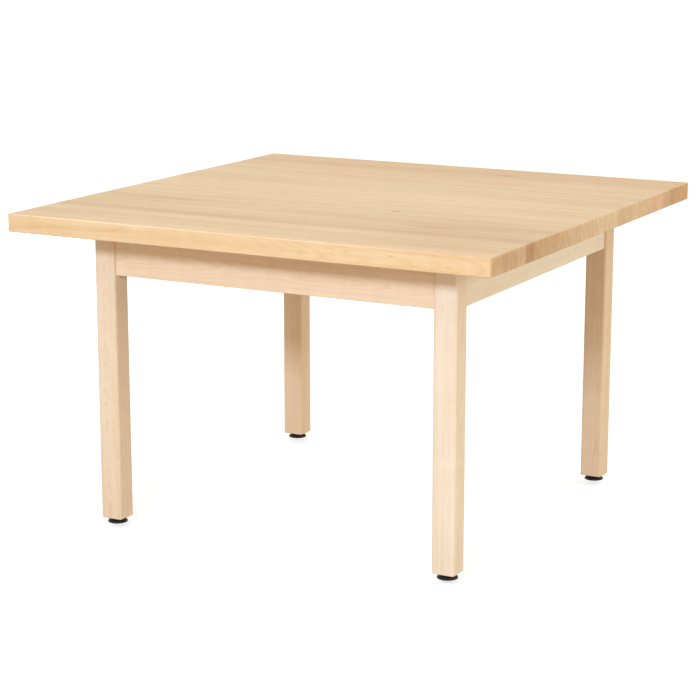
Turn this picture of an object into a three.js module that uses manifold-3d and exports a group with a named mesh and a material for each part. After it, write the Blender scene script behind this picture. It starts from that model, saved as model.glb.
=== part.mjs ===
// A square table: an edge-glued slab on four legs, with four aprons, bolted corner
// braces, tabletop clips and levelling glides. Millimetres, +Z up, the origin on the
// floor under the middle of the slab, +X to the right, and the front at -Y.
import * as THREE from "three";
import { mergeVertices } from "three/addons/utils/BufferGeometryUtils.js";
import Module from "manifold-3d";

const wasm = await Module();
wasm.setup();

// Driving dimensions
const HEIGHT = 762;
const TOP = { side: 1219.2, thickness: 42.9, easing: 3.2, cornerRadius: 4 };
const LEG = { side: 55.6, span: 937, edgeRadius: 6.35, footChamfer: 2.4 };
const APRON = { height: 109.5, thickness: 19.05, setback: 6.35, easing: 1.5 };
const GAP = 0.3; // left between pieces that touch
const SMALL = 0.1; // how far a cutter runs past the face that it opens
const SPARE = 2; // how far a blind hole runs past its screw or bolt
const FINE = 24; // sides of a large round shape
const COARSE = 12; // sides of a screw or its hole

// The corner joint: a bent plate, a bolt along the diagonal, and two screws
const PLATE = 2;
const BRACE = { height: 65, standoff: 20, flange: 26, hook: 6, boltHole: 4.5 };
const LEG_FLAT = { cut: 14, start: 620 };
const BOLT = { radius: 3.97, length: 76, intoLeg: 42, z: 664, point: 5, chamfer: 0.8 };
const NUT = { hexRadius: 7.33, hexLength: 6.4, flangeRadius: 8.7, flangeLength: 1.6 };
const BRACE_KERF = { width: 3, depth: 8 };

// The tabletop clips and the groove that holds their tongues
const GROOVE = { below: 9.4, height: 3.2, depth: 10 };
const CLIP = { width: 19, tongue: 8, drop: 3.7, slope: 4, pad: 20, at: 203 };
const SCREW = { shank: 2.1, head: 4.5, headHeight: 3, length: 16, point: 4, hole: 2.6 };

// The levelling glides
const FOOT_Z = 12.7; // the leg's foot above the floor
const BASE = { radius: 24, chamfer: 1.2, edge: 4.5, top: 7, flat: 10, bore: 5.2 };
const SOCKET = { radius: 9.3, top: 2.8 }; // the hollow under the base, for the stud's head
const STUD = { radius: 4.76, top: 51, chamfer: 0.8, head: 8.7, headBottom: 0.8 };
const COLLAR = { radius: 8.25, height: 3 };
const INSERT = { sleeve: 6.5, flange: 11, flangeHeight: 1.5, top: 31, bore: 5.2 };
const STUD_HOLE_TOP = 58;

// Worked out from the above
const TOP_Z = HEIGHT - TOP.thickness; // the slab's underside
const FRAME_Z = TOP_Z - GAP; // the tops of the legs and aprons
const LEG_CENTRE = (LEG.span - LEG.side) / 2;
const APRON_OUTER = LEG.span / 2 - APRON.setback;
const APRON_INNER = APRON_OUTER - APRON.thickness;
const APRON_END = LEG.span / 2 - LEG.side - GAP;
const FLAT_DISTANCE = (LEG.side - LEG_FLAT.cut) / Math.SQRT2; // leg's centre to its flat
const PLATE_DISTANCE = LEG_CENTRE * Math.SQRT2 - FLAT_DISTANCE - BRACE.standoff;
const FLANGE_LINE = APRON_INNER - GAP - PLATE / 2;
const BEND = PLATE_DISTANCE * Math.SQRT2 - FLANGE_LINE; // where flange and plate meet
const HOOK = BEND - BRACE.flange;
const FLANGE_SCREW = (BEND + HOOK) / 2;
const SCREW_HOLE = SCREW.shank + GAP;
const CLIP_PAD_Z = FRAME_Z - PLATE / 2;
const CLIP_TONGUE_Z = FRAME_Z - GROOVE.below - GROOVE.height / 2;
const CLIP_SCREW_Y = APRON_INNER - CLIP.drop - CLIP.slope - CLIP.pad / 2;

const MAPLE = () => new THREE.MeshStandardMaterial({ color: "#e6cba3", roughness: 0.45 });
const ZINC = () =>
  new THREE.MeshStandardMaterial({ color: "#b9bbb8", roughness: 0.35, metalness: 1 });
const BLACK = () => new THREE.MeshStandardMaterial({ color: "#1b1a1a", roughness: 0.4 });

function toSolid(geometry) {
  const bare = geometry.clone();
  bare.deleteAttribute("normal");
  bare.deleteAttribute("uv");
  const merged = mergeVertices(bare, 1e-4);
  const vertProperties = new Float32Array(merged.attributes.position.array);
  const triVerts = new Uint32Array(merged.index.array);
  return new wasm.Manifold(new wasm.Mesh({ numProp: 3, vertProperties, triVerts }));
}

function toGeometry(solid) {
  const mesh = solid.getMesh();
  const geometry = new THREE.BufferGeometry();
  geometry.setAttribute("position", new THREE.BufferAttribute(mesh.vertProperties, 3));
  geometry.setIndex(new THREE.BufferAttribute(mesh.triVerts, 1));
  geometry.computeVertexNormals();
  return geometry;
}

function cut(geometry, cutters) {
  const holes = cutters.map(toSolid);
  return toGeometry(holes.reduce((left, hole) => left.subtract(hole), toSolid(geometry)));
}

function join(first, second) {
  return toGeometry(toSolid(first).add(toSolid(second)));
}

// A cylinder or prism along +Z from z = from to z = to
function rod(radius, from, to, sides = COARSE) {
  const geometry = new THREE.CylinderGeometry(radius, radius, to - from, sides);
  return geometry.rotateX(Math.PI / 2).translate(0, 0, (from + to) / 2);
}

function box(sizeX, sizeY, sizeZ, x, y, z) {
  return new THREE.BoxGeometry(sizeX, sizeY, sizeZ).translate(x, y, z);
}

// A solid of revolution about Z from [radius, z] points listed from its top down
function turned(profile, sides) {
  const points = profile.map(([radius, z]) => new THREE.Vector2(radius, -z));
  return new THREE.LatheGeometry(points, sides).rotateX(-Math.PI / 2);
}

// Points [radius, z] on a quarter of an ellipse, from its outer edge up to its crown
function quarter(centreRadius, centreZ, across, up, steps) {
  return Array.from({ length: steps + 1 }, (_, i) => {
    const angle = (i * Math.PI) / 2 / steps;
    return [centreRadius + across * Math.cos(angle), centreZ + up * Math.sin(angle)];
  });
}

function extruded(outline, length, options = {}) {
  return new THREE.ExtrudeGeometry(outline, {
    depth: length,
    bevelEnabled: false,
    curveSegments: 3,
    ...options,
  });
}

function outlineOf(points) {
  return new THREE.Shape(points.map(([x, y]) => new THREE.Vector2(x, y)));
}

function roundedSquare(side, radius) {
  const shape = new THREE.Shape();
  const middle = side / 2 - radius;
  for (let corner = 0; corner < 4; corner += 1) {
    const start = (corner * Math.PI) / 2;
    const x = middle * Math.SQRT2 * Math.cos(start + Math.PI / 4);
    const y = middle * Math.SQRT2 * Math.sin(start + Math.PI / 4);
    shape.absarc(x, y, radius, start, start + Math.PI / 2);
  }
  return shape;
}

// The outline of a sheet-metal strip of even thickness along a bent line
function strip(line, thickness) {
  const points = line.map(([x, y]) => new THREE.Vector2(x, y));
  const side = (sign) =>
    points.map((point, i) => {
      const before = points[Math.max(i - 1, 0)];
      const after = points[Math.min(i + 1, points.length - 1)];
      const into = i > 0 ? point.clone().sub(before) : after.clone().sub(point);
      const out = i < points.length - 1 ? after.clone().sub(point) : into.clone();
      const normal = ({ x, y }) => new THREE.Vector2(-y, x).normalize();
      const mitre = normal(into).add(normal(out)).normalize();
      const reach = thickness / 2 / mitre.dot(normal(into));
      return point.clone().addScaledVector(mitre, sign * reach);
    });
  return new THREE.Shape([...side(1), ...side(-1).reverse()]);
}

function piece(name, geometry, material) {
  const mesh = new THREE.Mesh(geometry, material());
  mesh.name = name;
  return mesh;
}

function tabletop() {
  const slab = extruded(roundedSquare(TOP.side, TOP.cornerRadius), TOP.thickness - 2 * TOP.easing, {
    bevelEnabled: true,
    bevelThickness: TOP.easing,
    bevelSize: TOP.easing,
    bevelOffset: -TOP.easing,
    bevelSegments: 2,
  }).translate(0, 0, TOP_Z + TOP.easing);
  const pilots = [];
  for (let side = 0; side < 4; side += 1) {
    for (const x of [-CLIP.at, CLIP.at]) {
      const hole = rod(SCREW_HOLE, TOP_Z - SMALL, TOP_Z + SCREW.length + SPARE);
      pilots.push(hole.translate(x, CLIP_SCREW_Y, 0).rotateZ((side * Math.PI) / 2));
    }
  }
  return cut(slab, pilots);
}

// Along the corner's diagonal: z = 0 becomes the brace plate, +Z runs out to the leg
function onDiagonal(geometry) {
  const middle = PLATE_DISTANCE / Math.SQRT2;
  geometry.rotateY(Math.PI / 2).rotateZ(Math.PI / 4);
  return geometry.translate(middle, middle, BOLT.z);
}

function leg() {
  const chamfer = LEG.footChamfer;
  const length = FRAME_Z - FOOT_Z;
  const post = extruded(roundedSquare(LEG.side, LEG.edgeRadius), length, {
    bevelEnabled: true,
    bevelThickness: chamfer,
    bevelSize: chamfer,
    bevelOffset: -chamfer,
    bevelSegments: 1,
  }).translate(LEG_CENTRE, LEG_CENTRE, FOOT_Z + chamfer);
  const reach = LEG.side;
  const flat = box(reach, reach, FRAME_Z - LEG_FLAT.start, 0, 0, 0)
    .rotateZ(Math.PI / 4)
    .translate(LEG_CENTRE, LEG_CENTRE, (FRAME_Z + LEG_FLAT.start) / 2);
  const away = -(FLAT_DISTANCE + reach / 2) / Math.SQRT2;
  flat.translate(away, away, SMALL);
  const above = box(2 * reach, 2 * reach, reach, LEG_CENTRE, LEG_CENTRE, FRAME_Z + reach / 2);
  const boltHole = rod(BOLT.radius + GAP, 0, BRACE.standoff + BOLT.intoLeg + SPARE);
  const recessTop = FOOT_Z + INSERT.flangeHeight + 2 * GAP;
  const recess = rod(INSERT.flange + GAP, FOOT_Z - SMALL, recessTop, FINE);
  const sleeveHole = rod(INSERT.sleeve + 2 * GAP, FOOT_Z, INSERT.top + GAP);
  const studHole = rod(INSERT.bore, FOOT_Z, STUD_HOLE_TOP);
  const upright = [recess, sleeveHole, studHole];
  upright.forEach((hole) => hole.translate(LEG_CENTRE, LEG_CENTRE, 0));
  return cut(post, [flat, above, onDiagonal(boltHole), ...upright]);
}

function brace() {
  const line = [
    [HOOK, APRON_INNER + BRACE.hook],
    [HOOK, FLANGE_LINE],
    [BEND, FLANGE_LINE],
    [FLANGE_LINE, BEND],
    [FLANGE_LINE, HOOK],
    [APRON_INNER + BRACE.hook, HOOK],
  ];
  const plate = extruded(strip(line, PLATE), BRACE.height);
  plate.translate(0, 0, BOLT.z - BRACE.height / 2);
  const boltHole = onDiagonal(rod(BRACE.boltHole, -PLATE, PLATE));
  const hole = () => rod(SCREW.hole, -PLATE, PLATE);
  const backHole = hole().rotateX(Math.PI / 2).translate(FLANGE_SCREW, FLANGE_LINE, BOLT.z);
  const sideHole = hole().rotateY(Math.PI / 2).translate(FLANGE_LINE, FLANGE_SCREW, BOLT.z);
  return cut(plate, [boltHole, backHole, sideHole]);
}

function hangerBolt() {
  const end = BRACE.standoff + BOLT.intoLeg;
  const start = end - BOLT.length;
  return onDiagonal(
    turned(
      [
        [0, end],
        [BOLT.radius, end - BOLT.point],
        [BOLT.radius, start + BOLT.chamfer],
        [BOLT.radius - BOLT.chamfer, start],
        [0, start],
      ],
      COARSE,
    ),
  );
}

function braceNut() {
  const face = -PLATE / 2 - GAP;
  const hex = rod(NUT.hexRadius, face - NUT.flangeLength - NUT.hexLength, face - SMALL, 6);
  const flange = rod(NUT.flangeRadius, face - NUT.flangeLength, face);
  const bore = rod(BOLT.radius + GAP, -BOLT.length, BOLT.length);
  return onDiagonal(cut(join(hex, flange), [bore]));
}

// A pan-head screw along +Z, with the underside of its head at z = 0
function screw() {
  return turned(
    [
      [0, SCREW.length],
      [SCREW.shank, SCREW.length - SCREW.point],
      [SCREW.shank, 0],
      ...quarter(0, 0, SCREW.head, -SCREW.headHeight, 2),
    ],
    COARSE,
  );
}

function braceScrews() {
  const face = FLANGE_LINE - PLATE / 2 - GAP;
  return [
    screw().rotateX(-Math.PI / 2).translate(FLANGE_SCREW, face, BOLT.z),
    screw().rotateY(Math.PI / 2).translate(face, FLANGE_SCREW, BOLT.z),
  ];
}

function glideBase() {
  const { radius, chamfer, edge, top, flat, bore } = BASE;
  return turned(
    [
      [bore, top],
      ...quarter(flat, edge, radius - flat, top - edge, 3).reverse(),
      [radius, chamfer],
      [radius - chamfer, 0],
      [SOCKET.radius, 0],
      [SOCKET.radius, SOCKET.top],
      [bore, SOCKET.top],
      [bore, top],
    ],
    FINE,
  ).translate(LEG_CENTRE, LEG_CENTRE, 0);
}

function glideStud() {
  const collar = BASE.top + GAP;
  const headTop = SOCKET.top - GAP;
  const shaft = turned(
    [
      [0, STUD.top],
      [STUD.radius - STUD.chamfer, STUD.top],
      [STUD.radius, STUD.top - STUD.chamfer],
      [STUD.radius, headTop],
      [STUD.head, headTop],
      [STUD.head, STUD.headBottom],
      [0, STUD.headBottom],
    ],
    COARSE,
  );
  const hex = rod(COLLAR.radius, collar, collar + COLLAR.height, 6);
  return join(shaft, hex).translate(LEG_CENTRE, LEG_CENTRE, 0);
}

function threadedInsert() {
  const bottom = FOOT_Z + GAP;
  const { sleeve, flange, flangeHeight, top, bore } = INSERT;
  return turned(
    [
      [bore, top],
      [sleeve, top],
      [sleeve, bottom + flangeHeight],
      [flange, bottom + flangeHeight],
      [flange, bottom],
      [bore, bottom],
      [bore, top],
    ],
    COARSE,
  ).translate(LEG_CENTRE, LEG_CENTRE, 0);
}

// The front apron's section, with the clip groove in its inner face, as [y, z] points
function apronSection() {
  const outer = -APRON_OUTER;
  const inner = -APRON_INNER;
  const foot = TOP_Z - APRON.height;
  const grooveTop = FRAME_Z - GROOVE.below;
  const grooveEnd = inner - GROOVE.depth;
  return outlineOf([
    [outer, FRAME_Z],
    [outer, foot + APRON.easing],
    [outer + APRON.easing, foot],
    [inner - APRON.easing, foot],
    [inner, foot + APRON.easing],
    [inner, grooveTop - GROOVE.height],
    [grooveEnd, grooveTop - GROOVE.height],
    [grooveEnd, grooveTop],
    [inner, grooveTop],
    [inner, FRAME_Z],
  ]);
}

// Stands a section drawn as [y, z] up, with its length along X and its middle at x = 0
function alongX(section, length) {
  const bar = extruded(section, length).translate(0, 0, -length / 2);
  return bar.rotateX(Math.PI / 2).rotateZ(Math.PI / 2);
}

function apron() {
  const rail = alongX(apronSection(), 2 * APRON_END);
  const middle = TOP_Z - APRON.height / 2;
  const cutters = [];
  for (const end of [-1, 1]) {
    const kerfY = SMALL / 2 - APRON_INNER - BRACE_KERF.depth / 2;
    const depth = BRACE_KERF.depth + SMALL;
    cutters.push(box(BRACE_KERF.width, depth, 2 * APRON.height, end * HOOK, kerfY, middle));
    const screwHole = rod(SCREW_HOLE, -SMALL, SCREW.length - PLATE).rotateX(Math.PI / 2);
    cutters.push(screwHole.translate(end * FLANGE_SCREW, -APRON_INNER, BOLT.z));
  }
  return cut(rail, cutters);
}

function clip(x) {
  const section = strip(
    [
      [-APRON_INNER - CLIP.tongue, CLIP_TONGUE_Z],
      [-APRON_INNER + CLIP.drop, CLIP_TONGUE_Z],
      [-APRON_INNER + CLIP.drop + CLIP.slope, CLIP_PAD_Z],
      [-APRON_INNER + CLIP.drop + CLIP.slope + CLIP.pad, CLIP_PAD_Z],
    ],
    PLATE,
  );
  const hole = rod(SCREW.hole, CLIP_PAD_Z - PLATE, CLIP_PAD_Z + PLATE);
  return cut(alongX(section, CLIP.width), [hole.translate(0, -CLIP_SCREW_Y, 0)]).translate(x, 0, 0);
}

function clipScrew(x) {
  return screw().translate(x, -CLIP_SCREW_Y, CLIP_PAD_Z - PLATE / 2 - GAP);
}

function cornerPieces(corner) {
  const [backScrew, sideScrew] = braceScrews();
  return [
    piece(`leg_${corner}`, leg(), MAPLE),
    piece(`corner_brace_${corner}`, brace(), ZINC),
    piece(`hanger_bolt_${corner}`, hangerBolt(), ZINC),
    piece(`brace_nut_${corner}`, braceNut(), ZINC),
    piece(`brace_screw_${corner}_a`, backScrew, ZINC),
    piece(`brace_screw_${corner}_b`, sideScrew, ZINC),
    piece(`threaded_insert_${corner}`, threadedInsert(), ZINC),
    piece(`glide_stud_${corner}`, glideStud(), ZINC),
    piece(`glide_base_${corner}`, glideBase(), BLACK),
  ];
}

function sidePieces(side) {
  const pieces = [piece(`apron_${side}`, apron(), MAPLE)];
  [-CLIP.at, CLIP.at].forEach((x, i) => {
    pieces.push(piece(`top_clip_${side}_${i + 1}`, clip(x), ZINC));
    pieces.push(piece(`clip_screw_${side}_${i + 1}`, clipScrew(x), ZINC));
  });
  return pieces;
}

// Each corner or side is the same set of pieces, turned a quarter turn further
function turnedSet(names, pieces) {
  return names.map((name, turns) => {
    const group = new THREE.Group();
    group.add(...pieces(name));
    group.rotation.z = (turns * Math.PI) / 2;
    return group;
  });
}

const table = new THREE.Group();
table.add(piece("tabletop", tabletop(), MAPLE));
table.add(...turnedSet(["back_right", "back_left", "front_left", "front_right"], cornerPieces));
table.add(...turnedSet(["front", "right", "back", "left"], sidePieces));

export default table;
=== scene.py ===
# The looks of a square maple table: an edge-glued slab, legs, aprons, corner hardware and
# levelling glides, each built round its CAD node. Metres, +Z up, the front at -Y.
import math

import bmesh
import bpy
from mathutils import Matrix, Vector


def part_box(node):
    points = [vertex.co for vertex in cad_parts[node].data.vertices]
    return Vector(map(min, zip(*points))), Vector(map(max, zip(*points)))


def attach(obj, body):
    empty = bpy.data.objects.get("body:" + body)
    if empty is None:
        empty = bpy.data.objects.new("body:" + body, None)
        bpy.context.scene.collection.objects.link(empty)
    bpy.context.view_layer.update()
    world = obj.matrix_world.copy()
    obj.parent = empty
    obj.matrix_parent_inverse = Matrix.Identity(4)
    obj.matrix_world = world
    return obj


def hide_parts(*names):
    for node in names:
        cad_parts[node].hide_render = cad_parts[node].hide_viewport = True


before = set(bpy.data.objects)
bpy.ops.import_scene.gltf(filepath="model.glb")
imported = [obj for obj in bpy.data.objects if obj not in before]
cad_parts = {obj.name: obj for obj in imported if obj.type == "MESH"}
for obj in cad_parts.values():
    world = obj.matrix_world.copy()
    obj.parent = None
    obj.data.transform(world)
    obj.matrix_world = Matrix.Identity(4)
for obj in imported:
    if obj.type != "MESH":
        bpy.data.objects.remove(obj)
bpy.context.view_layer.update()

MM = 0.001
GAP = 0.3 * MM  # between pieces that touch
SPARE = 2 * MM  # how far a blind hole runs past its screw or bolt
GOLDEN = math.radians(137.5)

# Each set of pieces is built once and turned in quarter turns about Z, in this order. Each
# leg and apron has its wood's tone, then its pith: how fast its distance changes along the
# grain, and its place across the grain from the middle. The right apron's tone also holds
# painted light.
LEGS = {
    "back_right": ((0.98, 0.94, 0.88), (0.012, 12 * MM, -66 * MM)),
    "back_left": ((1.04, 1.00, 0.92), (0.004, -58 * MM, -44 * MM)),
    "front_left": ((0.99, 0.97, 0.95), (0.062, 2 * MM, 6 * MM)),
    "front_right": ((1.03, 1.06, 1.10), (0.003, 14 * MM, -78 * MM)),
}
APRONS = {
    "front": ((1.03, 0.98, 0.92), (0.020, -62 * MM, -16 * MM)),
    # Painted light: the right apron's tone is made paler than its wood, for the lamp on that side.
    "right": ((1.09, 1.21, 1.32), (0.006, 26 * MM, 84 * MM)),
    "back": ((0.98, 0.94, 0.88), (-0.016, -70 * MM, 20 * MM)),
    "left": ((0.98, 0.93, 0.87), (0.010, 48 * MM, -60 * MM)),
}
CORNERS = list(LEGS)
SIDES = list(APRONS)

# The slab: its staves run along X, listed from the front edge to the back one
STAVES = [
    "honey", "tan", "tan", "plain", "dark", "brown", "tan", "brown", "tan",
    "plain", "plain", "pale", "pale", "cream", "cream", "cream", "plain", "plain",
    "pale", "plain", "plain", "pink", "pink", "tan", "umber", "amber", "amber",
]
TONES = {
    "dark": (0.86, 0.80, 0.73),
    "umber": (0.91, 0.84, 0.77),
    "brown": (0.94, 0.90, 0.85),
    "tan": (0.96, 0.94, 0.91),
    "amber": (0.95, 0.87, 0.77),
    "plain": (1.00, 1.00, 1.00),
    "pink": (1.03, 0.98, 0.97),
    "pale": (1.03, 1.05, 1.06),
    "cream": (1.06, 1.11, 1.14),
    "honey": (1.02, 1.00, 0.98),
}

FRONT_STAVE_HEART = (0.032, 38 * MM, -21 * MM)  # draws arches along the slab's front edge

SLAB_EASING = 3.2 * MM
SLAB_CORNER = 4 * MM
GLUE_LINE = 0.35 * MM

# Knots, mineral streaks and a few broad darker patches in the slab, in millimetres: the middle
# from the left edge, the front edge and the upper face, the half sizes along X, Y and Z, then
# how dark
MARKS = [
    ((950, 285, 0), (110, 8, 9), 0.80),
    ((1150, 222, 0), (120, 5, 9), 0.45),
    ((200, 372, 0), (180, 6, 9), 0.45),
    ((488, 455, 0), (20, 6, 9), 0.60),
    ((597, 457, 0), (10, 5, 9), 0.45),
    ((779, 448, 0), (16, 8, 9), 0.85),
    ((765, 1107, 0), (50, 8, 9), 0.85),
    ((905, 1107, 0), (60, 9, 9), 0.30),
    ((1124, 0, 28), (8, 5, 2.5), 0.40),
    ((1042, 0, 33), (10, 5, 2), 0.28),
    ((992, 0, 16), (9, 5, 3), 0.32),
    ((884, 0, 14), (18, 5, 2), 0.32),
    ((1080, 240, 0), (330, 330, 14), 0.14),
    ((1219, 640, 0), (330, 560, 12), 0.08),
    ((1219, 190, 20), (8, 290, 40), 0.18),
    ((1219, 620, 20), (8, 330, 40), 0.09),
    ((1219, 20, 20), (5, 28, 34), 0.30),
    ((1219, 108, 12), (5, 10, 13), 0.26),
    ((1219, 207, 10), (5, 13, 9), 0.34),
    ((1219, 330, 24), (5, 15, 12), 0.22),
]

# Growth rings: their spacing, and how dark each is from its early wood to its late wood
RING = 2.7 * MM
RING_SHADES = [(0.0, 0.35), (0.1, 0.0), (0.62, 0.12), (0.92, 1.0), (1.0, 0.35)]
DEEP_WOOD = (0.80, 0.66, 0.48, 1.0)  # how much darker the darkest grain is
END_WOOD = (0.90, 0.87, 0.93, 1.0)  # how much darker the end grain is

# Legs and aprons
LEG_EDGE = 6.35 * MM
FOOT_EASING = 2.4 * MM
FLAT_CUT = 14 * MM  # what the brace's flat takes off each inner face of a leg
FLAT_START = 620 * MM  # the flat's lower end
APRON_EASING = 1.5 * MM
LEG_GRAIN_STEP = 0.3  # how far along the grain each leg lies from the one before
APRON_GRAIN_STEP = 0.4
GROOVE = {"below": 9.4 * MM, "height": 3.2 * MM, "depth": 10 * MM}
KERF = {"width": 3 * MM, "depth": 8 * MM}
CLIP_AT = 203 * MM  # from the middle of its apron

# Corner hardware; a bolt is measured from the middle of its brace's plate, outwards
PLATE = 2 * MM
BEND_RADIUS = 3 * MM
FLANGE = 26 * MM
BOLT = {"radius": 3.97 * MM, "start": -14 * MM, "thread_end": 12 * MM, "end": 62 * MM}
BOLT_THREAD = {"pitch": 1.41 * MM, "root": 3.35 * MM, "chamfer": 0.8 * MM}
LAG_THREAD = {"start": 22 * MM, "pitch": 3.2 * MM, "root": 2.7 * MM, "point": 9 * MM}
BOLT_HOLE = 4.5 * MM
NUT = {"across": 12.7 * MM, "height": 6.4 * MM, "flange": 8.7 * MM, "flange_height": 1.6 * MM}
NUT_FACE = 0.94  # how much of the width across flats the chamfer leaves
NUT_CONE = 0.58  # how far the chamfer falls for each unit outwards
SCREW = {"shank": 2.1 * MM, "head": 4.5 * MM, "head_height": 3 * MM, "length": 16 * MM}
SCREW_THREAD = {"start": 1.2 * MM, "pitch": 1.6 * MM, "root": 1.45 * MM, "point": 4 * MM}
SCREW_HOLE = 2.6 * MM
RECESS = {"depth": 1.9 * MM, "arm": 2.5 * MM, "width": 1.0 * MM}
RECESS_TIP = {"arm": 1.0 * MM, "width": 0.7 * MM}

# Clips: a tongue in the groove, a step up, and a pad under the slab
CLIP = {"tongue": 8 * MM, "drop": 3.7 * MM, "slope": 4 * MM, "pad": 20 * MM}

# Glides; the socket is the hollow below the base that holds the stud's head
SOCKET = {"radius": 9.3 * MM, "top": 2.8 * MM}
BASE = {"bore": 5.2 * MM, "crown": 10 * MM, "shoulder": 2.8 * MM, "rim": 1.9 * MM}
STUD = {"radius": 4.76 * MM, "root": 3.95 * MM, "pitch": 1.5875 * MM, "chamfer": 0.9 * MM}
STUD_HEAD = {"radius": 8.7 * MM, "low": 0.8 * MM, "edge": 0.3 * MM}
COLLAR = {"across": 14.29 * MM, "height": 3 * MM}
COLLAR_FACE = 1.09  # how far out its chamfer starts, in half widths across its flats
COLLAR_CONE = 1.2  # how far the chamfer goes outwards for each unit up or down
INSERT = {"sleeve": 6.5 * MM, "flange": 11 * MM, "flange_height": 1.5 * MM, "bore": 5.2 * MM}
BARB = {"depth": 0.35 * MM, "pitch": 1.2 * MM}
STUD_HOLE_TOP = 58 * MM

# Studio
CAMERA = {"place": (2.293, -4.371, 1.509), "down": 12.86, "turn": 28.09, "lens": 105.7}
SURROUND = 0.92  # light from all round
FLOOR_GLOW = 0.62  # how much whiter the camera sees the floor than it lights the table
FLOOR_DROP = 13 * MM  # room below the rest pose for the glides to be screwed out
FLOOR_RADIUS = 70

# Worked out from the frame
slab_low, slab_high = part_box("tabletop")
leg_low, leg_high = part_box("leg_back_right")
rail_low, rail_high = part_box("apron_front")
brace_low, brace_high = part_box("corner_brace_back_right")
base_low, base_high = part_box("glide_base_back_right")
stud_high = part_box("glide_stud_back_right")[1]
insert_low, insert_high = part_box("threaded_insert_back_right")
clip_low, clip_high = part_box("top_clip_front_1")

STAVE_WIDTH = (slab_high.y - slab_low.y) / len(STAVES)
LEG_HALF = (leg_high.x - leg_low.x) / 2
LEG_CENTRE = (leg_high.x + leg_low.x) / 2
RAIL_OUTER = -rail_low.y
RAIL_INNER = -rail_high.y
FLANGE_LINE = RAIL_INNER - GAP - PLATE / 2
HOOK = brace_low.x + PLATE / 2
BEND = HOOK + FLANGE
FLANGE_SCREW = (BEND + HOOK) / 2
BRACE_Z = (brace_low.z + brace_high.z) / 2
PLATE_DISTANCE = (BEND + FLANGE_LINE) / math.sqrt(2)
CLIP_SCREW_Y = RAIL_INNER - CLIP["drop"] - CLIP["slope"] - CLIP["pad"] / 2


# ---------------------------------------------------------------- mesh building

def arc(x, y, radius, start, end, steps):
    """Points on an arc about (x, y), with its angles in degrees."""
    angles = [math.radians(start + (end - start) * i / steps) for i in range(steps + 1)]
    return [(x + radius * math.cos(a), y + radius * math.sin(a)) for a in angles]


def rounded_square(half, radius, steps):
    middle = half - radius
    points = []
    for quarter, (x, y) in enumerate([(1, 1), (-1, 1), (-1, -1), (1, -1)]):
        start = 90 * quarter
        points += arc(x * middle, y * middle, radius, start, start + 90, steps)
    return points


def loft(rows):
    """A closed solid through rows of (x, y, z) points, with a flat cap at each end."""
    bm = bmesh.new()
    rings = [[bm.verts.new(point) for point in row] for row in rows]
    for lower, upper in zip(rings, rings[1:]):
        for i in range(len(lower)):
            j = (i + 1) % len(lower)
            bm.faces.new((lower[i], lower[j], upper[j], upper[i]))
    bm.faces.new(rings[0][::-1])
    bm.faces.new(rings[-1])
    bmesh.ops.recalc_face_normals(bm, faces=bm.faces)
    return bm


def upright(outline, insets):
    """A post whose outline is given by its inset, from (inset, z) rows listed upwards."""
    return loft([[(x, y, z) for x, y in outline(inset)] for inset, z in insets])


def eased(z, radius, upwards, steps=4):
    """(inset, z) rows of a quarter-round edge that starts or ends at z."""
    rows = arc(0, 0, radius, 0, 90, steps)
    if upwards:
        return [(radius - across, z - radius + up) for across, up in rows]
    return [(radius - across, z + radius - up) for across, up in reversed(rows)]


def turned(profile, sides, ring=False):
    """A solid of revolution about Z from (radius, z) points; a ring's ends join up."""
    bm = bmesh.new()
    rings = []
    for radius, z in profile:
        count = sides if radius > 0 else 1
        turns = [2 * math.pi * i / sides for i in range(count)]
        rings.append([bm.verts.new((radius * math.cos(a), radius * math.sin(a), z)) for a in turns])
    pairs = list(zip(rings, rings[1:]))
    if ring:
        pairs.append((rings[-1], rings[0]))
    for first, second in pairs:
        for i in range(sides):
            j = (i + 1) % sides
            around = [first[i % len(first)], first[j % len(first)]]
            around += [second[j % len(second)], second[i % len(second)]]
            corners = list(dict.fromkeys(around))
            if len(corners) > 2:
                bm.faces.new(corners)
    bmesh.ops.recalc_face_normals(bm, faces=bm.faces)
    return bm


def rod(radius_at, heights, sides):
    """A rod along Z whose radius is radius_at(angle, z)."""
    rows = []
    for z in heights:
        angles = [2 * math.pi * i / sides for i in range(sides)]
        sized = [(radius_at(a, z), a) for a in angles]
        rows.append([(r * math.cos(a), r * math.sin(a), z) for r, a in sized])
    return loft(rows)


def thread(angle, z, pitch, crest, root):
    """The radius of a right-hand screw thread."""
    phase = (z / pitch - angle / (2 * math.pi)) % 1
    flank = abs(2 * phase - 1) * 1.6 - 0.35  # below 0 on the flat root, over 1 on the flat crest
    return root + (crest - root) * min(max(flank, 0), 1)


def steps_between(low, high, step):
    count = max(1, round((high - low) / step))
    return [low + (high - low) * i / count for i in range(count + 1)]


def drill(radius, low, high, sides=32):
    return turned([(0, low), (radius, low), (radius, high), (0, high)], sides)


def prism(outline, low, high):
    return loft([[(x, y, z) for x, y in outline] for z in (low, high)])


def block(low, high):
    corners = [(low[0], low[1]), (high[0], low[1]), (high[0], high[1]), (low[0], high[1])]
    return prism(corners, low[2], high[2])


def moved(bm, *steps):
    """The mesh after each step in turn: a rotation matrix or a vector to move by."""
    for step in steps:
        matrix = Matrix.Translation(step) if isinstance(step, Vector) else step
        bmesh.ops.transform(bm, matrix=matrix, verts=bm.verts)
    return bm


def spin(degrees, axis):
    return Matrix.Rotation(math.radians(degrees), 4, axis)


def bent(points, reach=BEND_RADIUS, steps=5):
    """An open line with each inner corner rounded from reach before it to reach past it."""
    corners = [Vector(point) for point in points]
    line = [corners[0]]
    for before, corner, after in zip(corners, corners[1:], corners[2:]):
        start = corner + (before - corner).normalized() * reach
        end = corner + (after - corner).normalized() * reach
        for i in range(steps + 1):
            t = i / steps
            line.append(start.lerp(corner, t).lerp(corner.lerp(end, t), t))
    return line + [corners[-1]]


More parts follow.
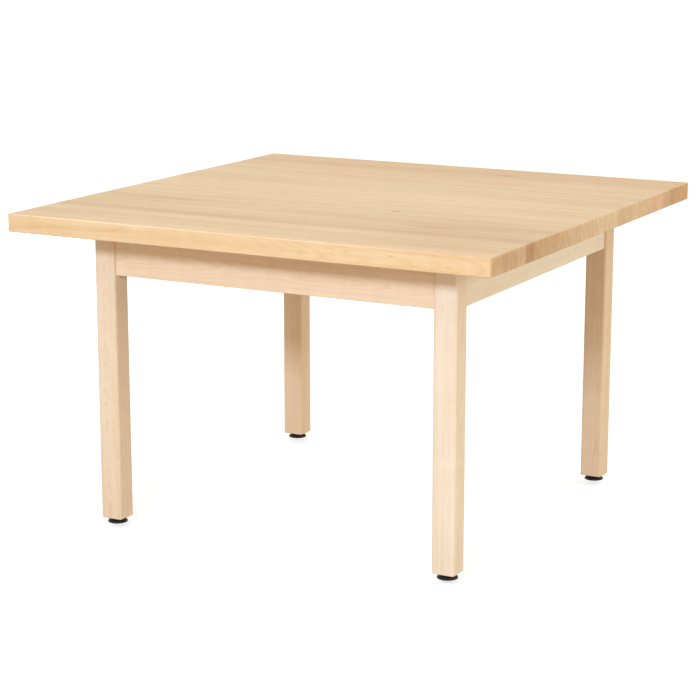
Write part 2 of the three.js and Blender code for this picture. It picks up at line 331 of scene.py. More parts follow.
def strip(line, thickness):
    """The outline of sheet metal of even thickness along a smooth line."""
    left, right = [], []
    for i, point in enumerate(line):
        along = line[min(i + 1, len(line) - 1)] - line[max(i - 1, 0)]
        across = Vector((-along.y, along.x)).normalized() * thickness / 2
        left.append(point + across)
        right.append(point - across)
    return [tuple(point) for point in left + right[::-1]]


def object_from(bm, name):
    mesh = bpy.data.meshes.new(name)
    bm.to_mesh(mesh)
    bm.free()
    made = bpy.data.objects.new(name, mesh)
    bpy.context.scene.collection.objects.link(made)
    return made


def settled(made):
    """Applies the object's modifiers and returns its mesh, dropping the object."""
    bpy.context.view_layer.update()
    shown = made.evaluated_get(bpy.context.evaluated_depsgraph_get())
    mesh = bpy.data.meshes.new_from_object(shown)
    bpy.data.objects.remove(made)
    return mesh


def carved(bm, cutters=(), chip=0.0):
    """The mesh less each cutter, with its sharp edges broken by a small bevel of chip."""
    made = object_from(bm, "blank")
    tools = [object_from(cutter, "cutter") for cutter in cutters]
    for tool in tools:
        cut = made.modifiers.new("cut", "BOOLEAN")
        cut.operation = "DIFFERENCE"
        cut.solver = "EXACT"
        cut.object = tool
    if chip:
        bevel = made.modifiers.new("chip", "BEVEL")
        bevel.width = chip
        bevel.segments = 2
        bevel.limit_method = "ANGLE"
        bevel.angle_limit = math.radians(40)
    mesh = settled(made)
    for tool in tools:
        bpy.data.objects.remove(tool)
    return mesh


def show(name, mesh, material, body, sharp=35):
    """Adds a finished piece that stands for the CAD node of the same name."""
    mesh.materials.clear()
    mesh.materials.append(material)
    mesh.shade_smooth()
    mesh.set_sharp_from_angle(angle=math.radians(sharp))
    mesh.name = name
    made = bpy.data.objects.new(f"{name}_look", mesh)
    bpy.context.scene.collection.objects.link(made)
    even = made.modifiers.new("even_shading", "WEIGHTED_NORMAL")
    even.keep_sharp = True
    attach(made, body)
    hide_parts(name)


# ---------------------------------------------------------------- materials

class Graph:
    """Short ways to add and link a material's nodes."""

    def __init__(self, name):
        self.material = bpy.data.materials.new(name)
        self.material.use_nodes = True
        self.tree = self.material.node_tree
        self.shader = self.tree.nodes["Principled BSDF"]

    def put(self, socket, value):
        if isinstance(value, bpy.types.NodeSocket):
            self.tree.links.new(value, socket)
        else:
            socket.default_value = value

    def node(self, kind, inputs=(), output=0, **settings):
        made = self.tree.nodes.new(f"ShaderNode{kind}")
        for key, value in settings.items():
            setattr(made, key, value)
        for key, value in dict(inputs).items():
            self.put(made.inputs[key], value)
        return made.outputs[output]

    def math(self, operation, *values, clamp=False):
        return self.node("Math", enumerate(values), operation=operation, use_clamp=clamp)

    def vector(self, operation, *values, output=0):
        return self.node("VectorMath", enumerate(values), output, operation=operation)

    def attribute(self, name, output="Vector"):
        return self.node("Attribute", output=output, attribute_name=name)

    def noise(self, place, scales, detail=2.0, roughness=0.5, output=0):
        stretched = self.vector("MULTIPLY", place, scales)
        inputs = {"Vector": stretched, "Scale": 1.0, "Detail": detail, "Roughness": roughness}
        return self.node("TexNoise", inputs, output)

    def between(self, value, low, high):
        """0 up to low and 1 from high, with a smooth step between them."""
        inputs = {"Value": value, "From Min": low, "From Max": high}
        return self.node("MapRange", inputs, interpolation_type="SMOOTHSTEP")

    def curve(self, value, stops):
        """Grey levels along a ramp, from (position, level) stops."""
        ramp = self.tree.nodes.new("ShaderNodeValToRGB")
        elements = ramp.color_ramp.elements
        while len(elements) < len(stops):
            elements.new(0.5)
        for element, (position, level) in zip(elements, stops):
            element.position = position
            element.color = (level, level, level, 1)
        self.put(ramp.inputs[0], value)
        return ramp.outputs[0]

    def blend(self, factor, first, second, mode="MIX"):
        made = self.tree.nodes.new("ShaderNodeMix")
        made.data_type = "RGBA"
        made.blend_type = mode
        self.put(made.inputs[0], factor)
        self.put(made.inputs[6], first)
        self.put(made.inputs[7], second)
        return made.outputs[2]

    def total(self, *shares):
        """The sum of weight times value for each (weight, value) pair."""
        result = 0.0
        for weight, value in shares:
            result = self.math("MULTIPLY_ADD", value, weight, result)
        return result

    def finish(self, **inputs):
        for key, value in inputs.items():
            self.put(self.shader.inputs[key.replace("_", " ")], value)
        return self.material

    def bump(self, height, distance, strength):
        inputs = {"Height": height, "Distance": distance, "Strength": strength}
        return self.node("Bump", inputs)


def paint(code):
    """A hex colour as linear RGBA."""
    channels = [int(code[i:i + 2], 16) / 255 for i in (1, 3, 5)]
    return tuple(((c + 0.055) / 1.055) ** 2.4 for c in channels) + (1.0,)


def growth_rings(g, board, pith, place):
    """Dark late-wood lines round each board's pith, which wanders along the grain."""
    wander = g.vector("SUBTRACT", g.noise(place, (1.7, 5.0, 5.0), 1.0, output=1), (0.5, 0.5, 0.5))
    wander = g.vector("MULTIPLY", wander, (0.0, 34 * MM, 34 * MM))
    core = g.vector("ADD", g.vector("SUBTRACT", board, pith), wander)
    radius = g.vector("LENGTH", g.vector("MULTIPLY", core, (0.0, 1.0, 1.0)), output="Value")
    wide = g.node("TexNoise", {"W": radius, "Scale": 70.0, "Detail": 1.0}, noise_dimensions="1D")
    ripple = g.noise(place, (9.0, 60.0, 60.0), 2.0)
    along = g.node("SeparateXYZ", {0: g.vector("MULTIPLY", board, pith)})
    uneven = g.total((3.5 * MM, wide), (1.6 * MM, ripple), (1.0, along))
    count = g.math("DIVIDE", g.math("ADD", radius, uneven), RING)
    line = g.curve(g.math("FRACT", count), RING_SHADES)
    weight = g.node("TexWhiteNoise", {"W": g.math("FLOOR", count)}, noise_dimensions="1D")
    return g.math("MULTIPLY", line, g.total((0.75, weight), (0.25, 1.0)))


def slab_marks(g, spot):
    """Where the slab holds its knots, mineral streaks and broad darker patches, from 0 to their
    darkness.
    """
    ragged = g.noise(spot, (30.0, 220.0, 220.0), 3.0)
    darkest = 0.0
    for (x, y, down), half_sizes, strength in MARKS:
        centre = (slab_low.x + x * MM, slab_low.y + y * MM, slab_high.z - down * MM)
        offset = g.vector("SUBTRACT", spot, centre)
        scaled = g.vector("MULTIPLY", offset, [1 / (half * MM) for half in half_sizes])
        distance = g.vector("LENGTH", scaled, output="Value")
        uneven = g.total((1.0, distance), (0.9, ragged), (-0.45, 1.0))
        inside = g.math("SUBTRACT", 1.0, g.between(uneven, 0.1, 1.0))
        darkest = g.math("MAXIMUM", darkest, g.math("MULTIPLY", inside, strength))
    return darkest


def gum_flecks(g, place):
    """Short brown flecks along the grain, in a few of the cells of a stretched pattern."""
    stretched = g.vector("MULTIPLY", place, (16.0, 95.0, 95.0))
    inputs = {"Vector": stretched, "Scale": 1.0}
    near = g.math("SUBTRACT", 1.0, g.between(g.node("TexVoronoi", inputs), 0.05, 0.17))
    chance = g.node("SeparateXYZ", {0: g.node("TexVoronoi", inputs, 1)})
    return g.math("MULTIPLY", near, g.between(chance, 0.93, 1.0))


def painted_edge_shade(g):
    """From 0 on the faces to 1 on the middle of an upright rounded edge, where painted shade
    darkens the wood to damp the light on the legs' rounded corners.
    """
    facing = g.node("NewGeometry", output="Normal")
    sides = [g.node("SeparateXYZ", {0: facing}, axis) for axis in range(2)]
    return g.math("MULTIPLY", g.math("ABSOLUTE", g.math("MULTIPLY", *sides)), 2.0)


def glue_lines(g, board, spot):
    """Thin lines where the slab's staves meet, left off its front and back faces."""
    across = g.math("ABSOLUTE", g.node("SeparateXYZ", {0: board}, 1))
    edge = STAVE_WIDTH / 2
    line = g.between(across, edge - GLUE_LINE, edge - 0.1 * MM)
    from_middle = g.math("ABSOLUTE", g.node("SeparateXYZ", {0: spot}, 1))
    return g.math("MULTIPLY", line, g.math("LESS_THAN", from_middle, slab_high.y - MM))


def maple(name, base, streak_width, streak_depth, marked=False):
    """Satin-lacquered maple; each board's own grain comes from its mesh attributes."""
    g = Graph(name)
    board = g.attribute("board")
    pith = g.attribute("pith")
    tone = g.attribute("tone")
    end = g.attribute("end_grain", "Fac")
    place = g.vector("ADD", board, g.vector("MULTIPLY", pith, (53.0, 41.0, 47.0)))
    ring = growth_rings(g, board, pith, place)
    streak_scales = (2.4, 1 / streak_width, 1 / streak_width)
    streak = g.between(g.noise(place, streak_scales, 5.0, 0.62), 0.34, 0.68)
    fibre = g.between(g.noise(place, (16.0, 900.0, 900.0), 3.0, 0.6), 0.38, 0.66)
    fleck = g.between(g.noise(place, (120.0, 1500.0, 1500.0), 1.0), 0.66, 0.76)
    cloud = g.between(g.noise(place, (1.2, 16.0, 16.0), 2.0), 0.3, 0.7)
    curl = g.between(g.noise(place, (34.0, 9.0, 9.0), 2.0), 0.35, 0.65)
    face = g.total(
        (0.34, ring), (streak_depth, streak), (0.12, fibre),
        (0.12, fleck), (0.20, cloud), (0.10, curl),
    )
    blotch = g.between(g.noise(place, (1.0, 110.0, 36.0), 3.0, 0.6), 0.42, 0.66)
    across_end = g.total((0.55, ring), (0.55, blotch), (0.20, fibre), (0.10, cloud))
    shade = g.node("Mix", {0: end, 2: face, 3: across_end})
    pale = g.blend(1.0, paint(base), tone, "MULTIPLY")
    deep = g.blend(1.0, pale, DEEP_WOOD, "MULTIPLY")
    colour = g.blend(shade, pale, deep)
    end_tone = g.blend(1.0, tone, END_WOOD, "MULTIPLY")
    colour = g.blend(end, colour, g.blend(1.0, colour, end_tone, "MULTIPLY"))
    colour = g.blend(g.math("MULTIPLY", gum_flecks(g, place), 0.45), colour, paint("#a5672a"))
    # Painted shade: the upright rounded edges are darkened towards the deep grain colour.
    colour = g.blend(g.math("MULTIPLY", painted_edge_shade(g), 0.16), colour, deep)
    if marked:
        spot = g.node("TexCoord", output="Object")
        colour = g.blend(slab_marks(g, spot), colour, paint("#935a20"))
        glue = g.math("MULTIPLY", glue_lines(g, board, spot), 0.3)
        colour = g.blend(glue, colour, paint("#8a6238"))
    relief = g.total((0.5, fibre), (0.3, fleck), (0.2, ring))
    return g.finish(
        Base_Color=colour,
        Roughness=g.total((0.10, streak), (0.06, fibre), (0.40, 1.0)),
        Normal=g.bump(relief, 0.03 * MM, 0.5),
        Coat_Weight=0.35,
        Coat_Roughness=0.28,
    )


def zinc(name):
    """Bright zinc plate over pressed steel, slightly mottled, with faint rolling lines."""
    g = Graph(name)
    spot = g.node("TexCoord", output="Object")
    mottle = g.noise(spot, (260.0, 260.0, 260.0), 4.0, 0.65)
    lines = g.noise(spot, (2200.0, 2200.0, 90.0), 2.0)
    stain = g.between(g.noise(spot, (38.0, 38.0, 38.0), 3.0), 0.42, 0.68)
    colour = g.blend(mottle, paint("#c2c7cc"), paint("#e2e4e2"))
    colour = g.blend(g.math("MULTIPLY", stain, 0.3), colour, paint("#b3ab8c"))
    return g.finish(
        Base_Color=colour,
        Metallic=1.0,
        Roughness=g.total((0.16, mottle), (0.08, lines), (0.10, stain), (0.26, 1.0)),
        Normal=g.bump(g.total((0.7, mottle), (0.3, lines)), 0.05 * MM, 0.35),
    )


def black_nylon(name):
    """Moulded black nylon with a fine spark-eroded texture and dusty scuffs."""
    g = Graph(name)
    spot = g.node("TexCoord", output="Object")
    texture = g.node("TexVoronoi", {"Vector": spot, "Scale": 1400.0})
    grain = g.noise(spot, (900.0, 900.0, 900.0), 3.0)
    scuff = g.between(g.noise(spot, (70.0, 70.0, 420.0), 4.0, 0.7), 0.55, 0.75)
    colour = g.blend(grain, paint("#151414"), paint("#262424"))
    colour = g.blend(g.math("MULTIPLY", scuff, 0.3), colour, paint("#4b4845"))
    return g.finish(
        Base_Color=colour,
        Roughness=g.total((0.16, grain), (0.16, scuff), (0.34, 1.0)),
        Normal=g.bump(g.total((0.6, texture), (0.4, grain)), 0.08 * MM, 0.4),
    )


TOP_MAPLE = maple("maple_slab", "#e2c69a", 15 * MM, 0.36, marked=True)
FRAME_MAPLE = maple("maple_frame", "#ead6ba", 6.7 * MM, 0.20)
ZINC = zinc("zinc_plate")
NYLON = black_nylon("moulded_nylon")


# ---------------------------------------------------------------- wooden pieces

BOARD_ATTRIBUTES = [
    ("board", "FLOAT_VECTOR", "CORNER"),
    ("pith", "FLOAT_VECTOR", "FACE"),
    ("tone", "FLOAT_VECTOR", "FACE"),
    ("end_grain", "FLOAT", "FACE"),
]


def mark_boards(mesh, axis, board_at):
    """Stores each face's place in its board, grain first, its board's pith and tone, and how
    squarely it cuts the grain. board_at(point) gives the board's middle, then its pith (how
    fast its distance changes along the grain, and its place across the grain), and its tone.
    """
    across, up = (axis + 1) % 3, (axis + 2) % 3
    for name, kind, domain in BOARD_ATTRIBUTES:
        mesh.attributes.new(name, kind, domain)
    board, pith, tone, end = [mesh.attributes[name] for name, kind, domain in BOARD_ATTRIBUTES]
    for face in mesh.polygons:
        middle, heart, colour = board_at(face.center)
        pith.data[face.index].vector = heart
        tone.data[face.index].vector = colour
        end.data[face.index].value = face.normal[axis] ** 2
        for loop in face.loop_indices:
            spot = mesh.vertices[mesh.loops[loop].vertex_index].co - middle
            board.data[loop].vector = (spot[axis], spot[across], spot[up])
    return mesh


def stave_heart(number):
    """A stave's pith: far out to one side, as the staves are boards turned on edge."""
    if number == 0:
        return FRONT_STAVE_HEART
    side = -1 if number % 2 else 1
    distance = 38 * MM + 70 * MM * ((number * 0.618) % 1)
    slope = 0.005 * math.cos(number * GOLDEN)
    return slope, side * distance, 26 * MM * math.sin(number * GOLDEN)


def stave_at(point):
    number = min(int((point.y - slab_low.y) / STAVE_WIDTH), len(STAVES) - 1)
    middle = Vector((0, slab_low.y + (number + 0.5) * STAVE_WIDTH, slab_high.z))
    return middle, stave_heart(number), TONES[STAVES[number]]


def make_tabletop():
    """A slab with quarter-round edges, split along its glue lines, and pilot holes below."""
    half = slab_high.x
    rows = eased(slab_low.z, SLAB_EASING, False) + eased(slab_high.z, SLAB_EASING, True)
    slab = upright(lambda inset: rounded_square(half - inset, SLAB_CORNER - inset, 5), rows)
    pilots = []
    pilot_top = slab_low.z + SCREW["length"] + SPARE
    for turn in range(4):
        for x in (-CLIP_AT, CLIP_AT):
            hole = drill(SCREW["shank"] + GAP, slab_low.z - MM, pilot_top, 16)
            pilots.append(moved(hole, Vector((x, CLIP_SCREW_Y, 0)), spin(90 * turn, "Z")))
    mesh = carved(slab, pilots)
    split = bmesh.new()
    split.from_mesh(mesh)
    for number in range(1, len(STAVES)):
        joint = Vector((0, slab_low.y + number * STAVE_WIDTH, 0))
        whole = [*split.verts, *split.edges, *split.faces]
        bmesh.ops.bisect_plane(split, geom=whole, plane_co=joint, plane_no=(0, 1, 0), dist=1e-6)
    split.to_mesh(mesh)
    split.free()
    mark_boards(mesh, 0, stave_at)
    show("tabletop", mesh, TOP_MAPLE, "table")


def leg_blank():
    """A square post with rounded edges, flattened for the brace and bored for its hardware."""
    rows = eased(leg_low.z, FOOT_EASING, False) + [(0, leg_high.z)]
    post = upright(lambda inset: rounded_square(LEG_HALF - inset, LEG_EDGE - inset / 2, 6), rows)
    moved(post, Vector((LEG_CENTRE, LEG_CENTRE, 0)))
    inside = (2 * LEG_HALF - FLAT_CUT) / math.sqrt(2)
    size = 2 * LEG_HALF
    flat = block((-size, -size, FLAT_START), (-inside, size, leg_high.z + size))
    moved(flat, spin(45, "Z"), Vector((LEG_CENTRE, LEG_CENTRE, 0)))
    bolt_hole = on_diagonal(drill(BOLT["radius"] + GAP, 0, BOLT["end"] + SPARE))
    recess_top = leg_low.z + INSERT["flange_height"] + 2 * GAP
    sleeve = INSERT["sleeve"] + 2 * GAP
    foot_hole = turned(
        [
            (0, leg_low.z - MM),
            (INSERT["flange"] + GAP, leg_low.z - MM),
            (INSERT["flange"] + GAP, recess_top),
            (sleeve, recess_top),
            (sleeve, insert_high.z + GAP),
            (INSERT["bore"], insert_high.z + GAP),
            (INSERT["bore"], STUD_HOLE_TOP - 2 * MM),
            (0, STUD_HOLE_TOP),
        ],
        48,
    )
    moved(foot_hole, Vector((LEG_CENTRE, LEG_CENTRE, 0)))
    return carved(post, [flat, bolt_hole, foot_hole])


def on_diagonal(bm):
    """Along the corner's diagonal: z = 0 becomes the brace plate, +Z runs out to the leg."""
    middle = PLATE_DISTANCE / math.sqrt(2)
    return moved(bm, spin(90, "Y"), spin(45, "Z"), Vector((middle, middle, BRACE_Z)))


def rail_blank():
    """The front apron, with its clip groove, the braces' kerfs and their screw holes."""
    low, high = rail_low.z, rail_high.z
    groove_top = high - GROOVE["below"]
    groove_low = groove_top - GROOVE["height"]
    groove_end = -RAIL_INNER - GROOVE["depth"]
    foot = low + APRON_EASING
    section = [(-RAIL_OUTER, high)]
    section += arc(APRON_EASING - RAIL_OUTER, foot, APRON_EASING, 180, 270, 4)
    section += arc(-RAIL_INNER - APRON_EASING, foot, APRON_EASING, 270, 360, 4)
    section += [(-RAIL_INNER, groove_low), (groove_end, groove_low)]
    section += [(groove_end, groove_top), (-RAIL_INNER, groove_top), (-RAIL_INNER, high)]
    rail = loft([[(x, y, z) for y, z in section] for x in (rail_low.x, rail_high.x)])
    cutters = []
    for end in (-1, 1):
        middle = end * HOOK
        near = (middle - KERF["width"] / 2, -RAIL_INNER - KERF["depth"], low - MM)
        far = (middle + KERF["width"] / 2, -RAIL_INNER + MM, high + MM)
        cutters.append(block(near, far))
        hole = moved(drill(SCREW["shank"] + GAP, -MM, SCREW["length"] - PLATE, 16), spin(90, "X"))
        cutters.append(moved(hole, Vector((end * FLANGE_SCREW, -RAIL_INNER, BRACE_Z))))
    return carved(rail, cutters)


def make_legs():
    blank = leg_blank()
    for turn, corner in enumerate(CORNERS):
        mesh = blank.copy()
        tone, heart = LEGS[corner]
        middle = Vector((LEG_CENTRE, LEG_CENTRE, turn * LEG_GRAIN_STEP))
        mark_boards(mesh, 2, lambda point: (middle, heart, tone))
        mesh.transform(spin(90 * turn, "Z"))
        show(f"leg_{corner}", mesh, FRAME_MAPLE, "table")


def make_aprons():
    blank = rail_blank()
    for turn, side in enumerate(SIDES):
        mesh = blank.copy()
        tone, heart = APRONS[side]
        middle = Vector((turn * APRON_GRAIN_STEP, -RAIL_INNER, (rail_low.z + rail_high.z) / 2))
        mark_boards(mesh, 0, lambda point: (middle, heart, tone))
        mesh.transform(spin(90 * turn, "Z"))
        show(f"apron_{side}", mesh, FRAME_MAPLE, "table")


# ---------------------------------------------------------------- hardware

def brace_blank():
    """A pressed plate across the corner, with flanges on the aprons and hooks in their kerfs."""
    hook_end = brace_high.y
    line = [(HOOK, hook_end), (HOOK, FLANGE_LINE), (BEND, FLANGE_LINE)]
    line += [(FLANGE_LINE, BEND), (FLANGE_LINE, HOOK), (hook_end, HOOK)]
    plate = prism(strip(bent(line), PLATE), brace_low.z, brace_high.z)
    holes = [on_diagonal(drill(BOLT_HOLE, -2 * PLATE, 2 * PLATE))]
    for tilt, spot in (("X", (FLANGE_SCREW, FLANGE_LINE)), ("Y", (FLANGE_LINE, FLANGE_SCREW))):
        hole = moved(drill(SCREW_HOLE, -PLATE, PLATE), spin(90, tilt))
        holes.append(moved(hole, Vector((*spot, BRACE_Z))))
    return carved(plate, holes, 0.25 * MM)


def hanger_bolt_blank():
    """Machine thread for the nut, a bare shank, and wood-screw thread into the leg."""
    crest = BOLT["radius"]
    bolt, lag = BOLT_THREAD, LAG_THREAD

    def radius_at(angle, z):
        if z < BOLT["thread_end"]:
            grown = min(bolt["chamfer"], z - BOLT["start"] + 0.1 * MM)
            cut = thread(angle, z, bolt["pitch"], crest, bolt["root"])
            return min(cut, crest - bolt["chamfer"] + grown)
        if z < lag["start"]:
            return crest - 0.15 * MM
        taper = min(1, (BOLT["end"] - z) / lag["point"])
        return max(thread(angle, z, lag["pitch"], crest, lag["root"]) * taper, 0.3 * MM)

    heights = steps_between(BOLT["start"], BOLT["thread_end"], 0.2 * MM)
    heights += steps_between(lag["start"], BOLT["end"], 0.4 * MM)
    return carved(on_diagonal(rod(radius_at, heights, 28)))


def hex_radius(angle, across):
    """How far a hexagon's outline lies from its middle."""
    return across / 2 / math.cos((angle + math.pi / 6) % (math.pi / 3) - math.pi / 6)


def brace_nut_blank():
    """A flanged hex nut whose corners are chamfered by a cone."""
    face = -PLATE / 2 - GAP
    flange_low = face - NUT["flange_height"]
    top = flange_low - NUT["height"]
    bore = BOLT["radius"] + GAP
    sides = 72
    flat = NUT["across"] / 2 * NUT_FACE
    angles = [2 * math.pi * i / sides for i in range(sides)]

    def ring(radius_at, z_at):
        sized = [(radius_at(a), a) for a in angles]
        return [(r * math.cos(a), r * math.sin(a), z_at(r)) for r, a in sized]

    def hexagon(a):
        return hex_radius(a, NUT["across"])

    rows = [
        ring(lambda a: bore, lambda r: top + 0.4 * MM),
        ring(lambda a: bore + 0.4 * MM, lambda r: top),
        ring(lambda a: flat, lambda r: top),
        ring(hexagon, lambda r: top + (r - flat) * NUT_CONE),
        ring(hexagon, lambda r: flange_low - 0.3 * MM),
        ring(lambda a: NUT["flange"] - 0.6 * MM, lambda r: flange_low),
        ring(lambda a: NUT["flange"], lambda r: flange_low + 0.6 * MM),
        ring(lambda a: NUT["flange"], lambda r: face - 0.3 * MM),
        ring(lambda a: NUT["flange"] - 0.3 * MM, lambda r: face),
        ring(lambda a: bore, lambda r: face),
    ]
    bm = bmesh.new()
    rings = [[bm.verts.new(point) for point in row] for row in rows]
    for lower, upper in zip(rings, rings[1:] + rings[:1]):
        for i in range(sides):
            j = (i + 1) % sides
            bm.faces.new((lower[i], lower[j], upper[j], upper[i]))
    bmesh.ops.recalc_face_normals(bm, faces=bm.faces)
    return carved(on_diagonal(bm))


def cross_cutter():
    """The plus-shaped recess of a screw head, narrowing as it goes in."""
    def plus(arm, half):
        quarter = [(arm, -half), (arm, half), (half, half)]
        points = []
        for turn in range(4):
            c, s = [(1, 0), (0, 1), (-1, 0), (0, -1)][turn]
            points += [(x * c - y * s, x * s + y * c) for x, y in quarter]
        return points

    outer = -SCREW["head_height"] - 0.2 * MM
    inner = -SCREW["head_height"] + RECESS["depth"]
    mouth = plus(RECESS["arm"], RECESS["width"] / 2)
    tip = plus(RECESS_TIP["arm"], RECESS_TIP["width"] / 2)
    rows = [(mouth, outer), (tip, inner)]
    return loft([[(x, y, z) for x, y in outline] for outline, z in rows])


def screw_blank():
    """A pan-head wood screw along +Z, with the underside of its head at z = 0."""
    head, height, shank = SCREW["head"], SCREW["head_height"], SCREW["shank"]
    end = SCREW["length"]
    worm = SCREW_THREAD

    def radius_at(angle, z):
        if z < 0:
            up = -z / height
            return max(head * math.sqrt(max(1 - up ** 2.6, 0)), 0.4 * MM)
        if z < worm["start"]:
            return shank - 0.1 * MM
        taper = min(1, (end - z) / worm["point"])
        return max(thread(angle, z, worm["pitch"], shank, worm["root"]) * taper, 0.15 * MM)

    heights = [-height * (1 - i / 10) ** 1.5 for i in range(10)] + [-1e-5, 1e-5]
    heights += steps_between(worm["start"], end, 0.22 * MM)
    return carved(rod(radius_at, heights, 28), [cross_cutter()])


def clip_blank():
    """The front-left tabletop clip, centred on x = 0."""
    pad_z = clip_high.z - PLATE / 2
    tongue_z = clip_low.z + PLATE / 2
    inner = -RAIL_INNER
    line = [(inner - CLIP["tongue"], tongue_z), (inner + CLIP["drop"], tongue_z)]
    line += [(inner + CLIP["drop"] + CLIP["slope"], pad_z)]
    line += [(inner + CLIP["drop"] + CLIP["slope"] + CLIP["pad"], pad_z)]
    width = clip_high.x - clip_low.x
    outline = strip(bent(line), PLATE)
    plate = loft([[(x, y, z) for y, z in outline] for x in (-width / 2, width / 2)])
    hole = drill(SCREW_HOLE, pad_z - 2 * PLATE, pad_z + 2 * PLATE)
    moved(hole, Vector((0, -CLIP_SCREW_Y, 0)))
    return carved(plate, [hole], 0.25 * MM)


def make_corner_hardware():
    face = FLANGE_LINE - PLATE / 2 - GAP
    back = screw_blank()
    back.transform(Matrix.Translation((FLANGE_SCREW, face, BRACE_Z)) @ spin(-90, "X"))
    side = screw_blank()
    side.transform(Matrix.Translation((face, FLANGE_SCREW, BRACE_Z)) @ spin(90, "Y"))
    blanks = {
        "corner_brace_{}": brace_blank(),
        "hanger_bolt_{}": hanger_bolt_blank(),
        "brace_nut_{}": brace_nut_blank(),
        "brace_screw_{}_a": back,
        "brace_screw_{}_b": side,
        "threaded_insert_{}": insert_blank(),
    }
    for turn, corner in enumerate(CORNERS):
        for pattern, blank in blanks.items():
            mesh = blank.copy()
            mesh.transform(spin(90 * turn, "Z"))
            show(pattern.format(corner), mesh, ZINC, "table")


def make_clips():
    clip, screw = clip_blank(), screw_blank()
    head_z = clip_high.z - PLATE - GAP
    for turn, side in enumerate(SIDES):
        for number, x in ((1, -CLIP_AT), (2, CLIP_AT)):
            mesh = clip.copy()
            mesh.transform(spin(90 * turn, "Z") @ Matrix.Translation((x, 0, 0)))
            show(f"top_clip_{side}_{number}", mesh, ZINC, "table")
            mesh = screw.copy()
            mesh.transform(spin(90 * turn, "Z") @ Matrix.Translation((x, -CLIP_SCREW_Y, head_z)))
            show(f"clip_screw_{side}_{number}", mesh, ZINC, "table")


# ---------------------------------------------------------------- glides

def insert_blank():
    """A flanged sleeve in the leg's foot, with barbs round it that grip the wood."""
    bottom, top = insert_low.z, insert_high.z
    sleeve, flange, bore = INSERT["sleeve"], INSERT["flange"], INSERT["bore"]
    lip = bottom + INSERT["flange_height"]
    profile = [(bore + 0.5 * MM, bottom), (flange - 0.4 * MM, bottom), (flange, bottom + 0.4 * MM)]
    profile += [(flange, lip), (sleeve - 0.4 * MM, lip)]
    half_barb = BARB["pitch"] / 2
    for z in steps_between(lip + half_barb, top - half_barb, BARB["pitch"]):
        profile += [(sleeve, z), (sleeve - BARB["depth"], z + half_barb)]
    profile += [(sleeve - 0.4 * MM, top), (bore + 0.4 * MM, top), (bore, top - 0.4 * MM)]
    profile += [(bore, bottom + 0.5 * MM)]
    bm = turned(profile, 48, ring=True)
    return carved(moved(bm, Vector((LEG_CENTRE, LEG_CENTRE, 0))))


def base_blank():
    """A low dome with a rounded shoulder over a thin rim, hollow below for the stud's head."""
    radius = (base_high.x - base_low.x) / 2
    top = base_high.z
    bore, crown, shoulder, rim = BASE["bore"], BASE["crown"], BASE["shoulder"], BASE["rim"]
    profile = [(bore, top - 0.3 * MM), (bore + 0.3 * MM, top)]
    dome_width = radius - MM - crown
    dome_height = top - shoulder
    for x, z in arc(0, 0, 1, 90, 6, 14):
        profile.append((crown + dome_width * x, shoulder + dome_height * z))
    profile += [(radius - 0.7 * MM, rim + 0.3 * MM), (radius - 0.2 * MM, rim)]
    profile += [(radius, rim - 0.3 * MM)]
    profile += arc(radius - 0.8 * MM, 0.8 * MM, 0.8 * MM, 0, -90, 4)
    profile += [(SOCKET["radius"] + 0.4 * MM, 0), (SOCKET["radius"], 0.4 * MM)]
    profile += [(SOCKET["radius"], SOCKET["top"]), (bore, SOCKET["top"])]
    bm = turned(profile, 96, ring=True)
    return carved(moved(bm, Vector((LEG_CENTRE, LEG_CENTRE, 0))))


def stud_blank():
    """A threaded stud with a hex collar over the base and a round head inside it."""
    collar = base_high.z + GAP
    head_top = SOCKET["top"] - GAP
    crest = STUD["radius"]
    thread_start = collar + COLLAR["height"]
    head, head_low = STUD_HEAD["radius"], STUD_HEAD["low"]
    head_side = head_low + STUD_HEAD["edge"]

    def radius_at(angle, z):
        if z < head_side:
            return head - STUD_HEAD["edge"]
        if z <= head_top:
            return head
        if z < collar:
            return crest - 0.3 * MM
        if z <= thread_start:
            edge = min(z - collar, thread_start - z)
            corner = COLLAR["across"] / 2 * COLLAR_FACE + edge * COLLAR_CONE
            return min(hex_radius(angle, COLLAR["across"]), corner)
        chamfer = max(0, z - stud_high.z + STUD["chamfer"])
        return min(thread(angle, z, STUD["pitch"], crest, STUD["root"]), crest - chamfer)

    tiny = 0.02 * MM
    heights = [head_low, head_side, head_top, head_top + tiny]
    heights += [collar - tiny, collar, collar + 0.4 * MM, thread_start - 0.4 * MM, thread_start]
    heights += steps_between(thread_start + tiny, stud_high.z, STUD["pitch"] / 8)
    bm = rod(radius_at, heights, 48)
    return carved(moved(bm, Vector((LEG_CENTRE, LEG_CENTRE, 0))))


def make_glides():
    base, stud = base_blank(), stud_blank()
    for turn, corner in enumerate(CORNERS):
        mesh = base.copy()
        mesh.transform(spin(90 * turn, "Z"))
        show(f"glide_base_{corner}", mesh, NYLON, f"base_{corner}")
        mesh = stud.copy()
        mesh.transform(spin(90 * turn, "Z"))
        show(f"glide_stud_{corner}", mesh, ZINC, f"stud_{corner}")


# ---------------------------------------------------------------- studio

def make_camera():
    data = bpy.data.cameras.new("camera")
    data.sensor_width = 36
    data.lens = CAMERA["lens"]
    data.clip_end = 200
    camera = bpy.data.objects.new("camera", data)
    camera.location = CAMERA["place"]
    tilt = math.radians(90 - CAMERA["down"])
    camera.rotation_euler = (tilt, 0, math.radians(CAMERA["turn"]))
    bpy.context.scene.collection.objects.link(camera)
    bpy.context.scene.camera = camera


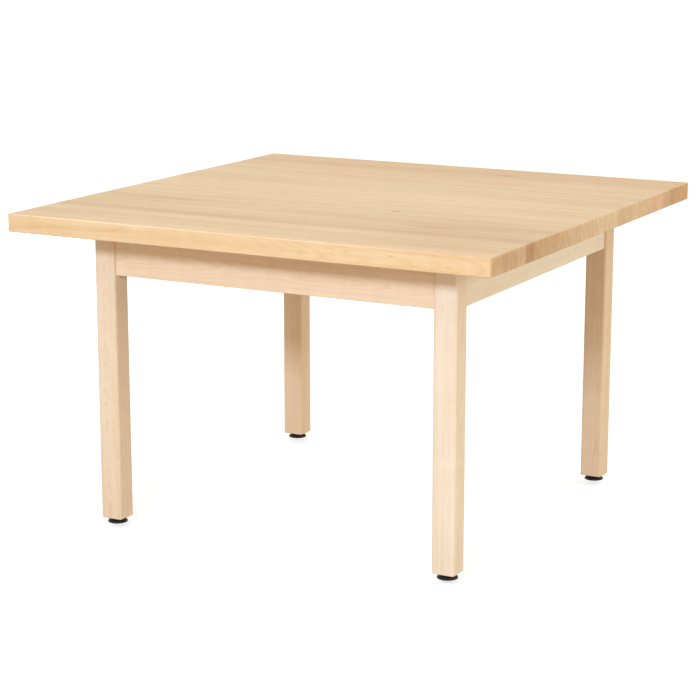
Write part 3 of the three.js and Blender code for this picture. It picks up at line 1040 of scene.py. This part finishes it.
def make_floor():
    """A pale floor that also glows, as an overlit studio floor does, seen only from above."""
    bm = bmesh.new()
    bmesh.ops.create_circle(bm, cap_ends=True, segments=96, radius=FLOOR_RADIUS)
    floor = object_from(bm, "studio_floor")
    floor.location.z = -FLOOR_DROP
    g = Graph("studio_floor")
    grain = g.noise(g.node("TexCoord", output="Object"), (3.0, 3.0, 3.0), 3.0)
    seen = g.node("LightPath", output="Is Camera Ray")
    pale = g.blend(grain, paint("#b9b9b8"), paint("#c0c0bf"))
    g.finish(Base_Color=g.blend(seen, paint("#c4b6a4"), pale), Roughness=0.9)
    glow = g.math("MULTIPLY", seen, FLOOR_GLOW)
    g.finish(Emission_Color=(1, 1, 1, 1), Emission_Strength=glow, Specular_IOR_Level=0.0)
    see_through = g.node("BsdfTransparent")
    below = g.node("NewGeometry", output="Backfacing")
    mix = g.node("MixShader", {0: below, 1: g.shader.outputs[0], 2: see_through})
    g.tree.links.new(mix, g.tree.nodes["Material Output"].inputs[0])
    floor.data.materials.append(g.material)


def white_surround():
    """Even light from all round, which the camera sees as plain white."""
    world = bpy.data.worlds.new("studio")
    world.use_nodes = True
    tree = world.node_tree
    background = tree.nodes["Background"]
    background.inputs["Color"].default_value = (1.0, 0.94, 0.84, 1)
    background.inputs["Strength"].default_value = SURROUND
    white = tree.nodes.new("ShaderNodeBackground")
    white.inputs["Color"].default_value = (1, 1, 1, 1)
    seen = tree.nodes.new("ShaderNodeLightPath")
    mix = tree.nodes.new("ShaderNodeMixShader")
    tree.links.new(seen.outputs["Is Camera Ray"], mix.inputs[0])
    tree.links.new(background.outputs[0], mix.inputs[1])
    tree.links.new(white.outputs[0], mix.inputs[2])
    tree.links.new(mix.outputs[0], tree.nodes["World Output"].inputs["Surface"])
    return world


def soft_box(name, place, aim, size, power, colour=(1, 1, 1), diffuse=True, glossy=True):
    """A rectangular lamp. Without diffuse it gives only highlights, without glossy none."""
    data = bpy.data.lights.new(name, "AREA")
    data.shape = "RECTANGLE"
    data.size, data.size_y = size
    data.energy = power
    data.color = colour
    lamp = bpy.data.objects.new(name, data)
    lamp.location = place
    lamp.visible_diffuse = diffuse
    lamp.visible_glossy = glossy
    lamp.rotation_euler = (Vector(aim) - Vector(place)).to_track_quat("-Z", "Y").to_euler()
    bpy.context.scene.collection.objects.link(lamp)


def make_studio():
    scene = bpy.context.scene
    scene.view_settings.view_transform = "Standard"
    scene.world = white_surround()
    make_floor()
    soft_box(
        "key", place=(0.8, -4.4, 2.33), aim=(0, 0, 0.5), size=(1.6, 0.5),
        power=119, colour=(0.82, 0.99, 1.36), glossy=False,
    )
    soft_box(
        "fill", place=(4.5, 0.8, 1.45), aim=(0, 0, 0.4), size=(3.0, 1.8),
        power=62, colour=(0.88, 0.96, 1.04), glossy=False,
    )
    soft_box(
        "edge", place=(-1.9, -1.1, 3.2), aim=(-0.25, -0.6, 0.76), size=(1.2, 0.8),
        power=44, diffuse=False,
    )
    soft_box(
        "back", place=(-2.9, 4.1, 0.85), aim=(0, 0, 0.45), size=(2.4, 0.9),
        power=60, colour=(0.82, 0.99, 1.28), glossy=False,
    )


make_tabletop()
make_legs()
make_aprons()
make_corner_hardware()
make_clips()
make_glides()
make_camera()
make_studio()
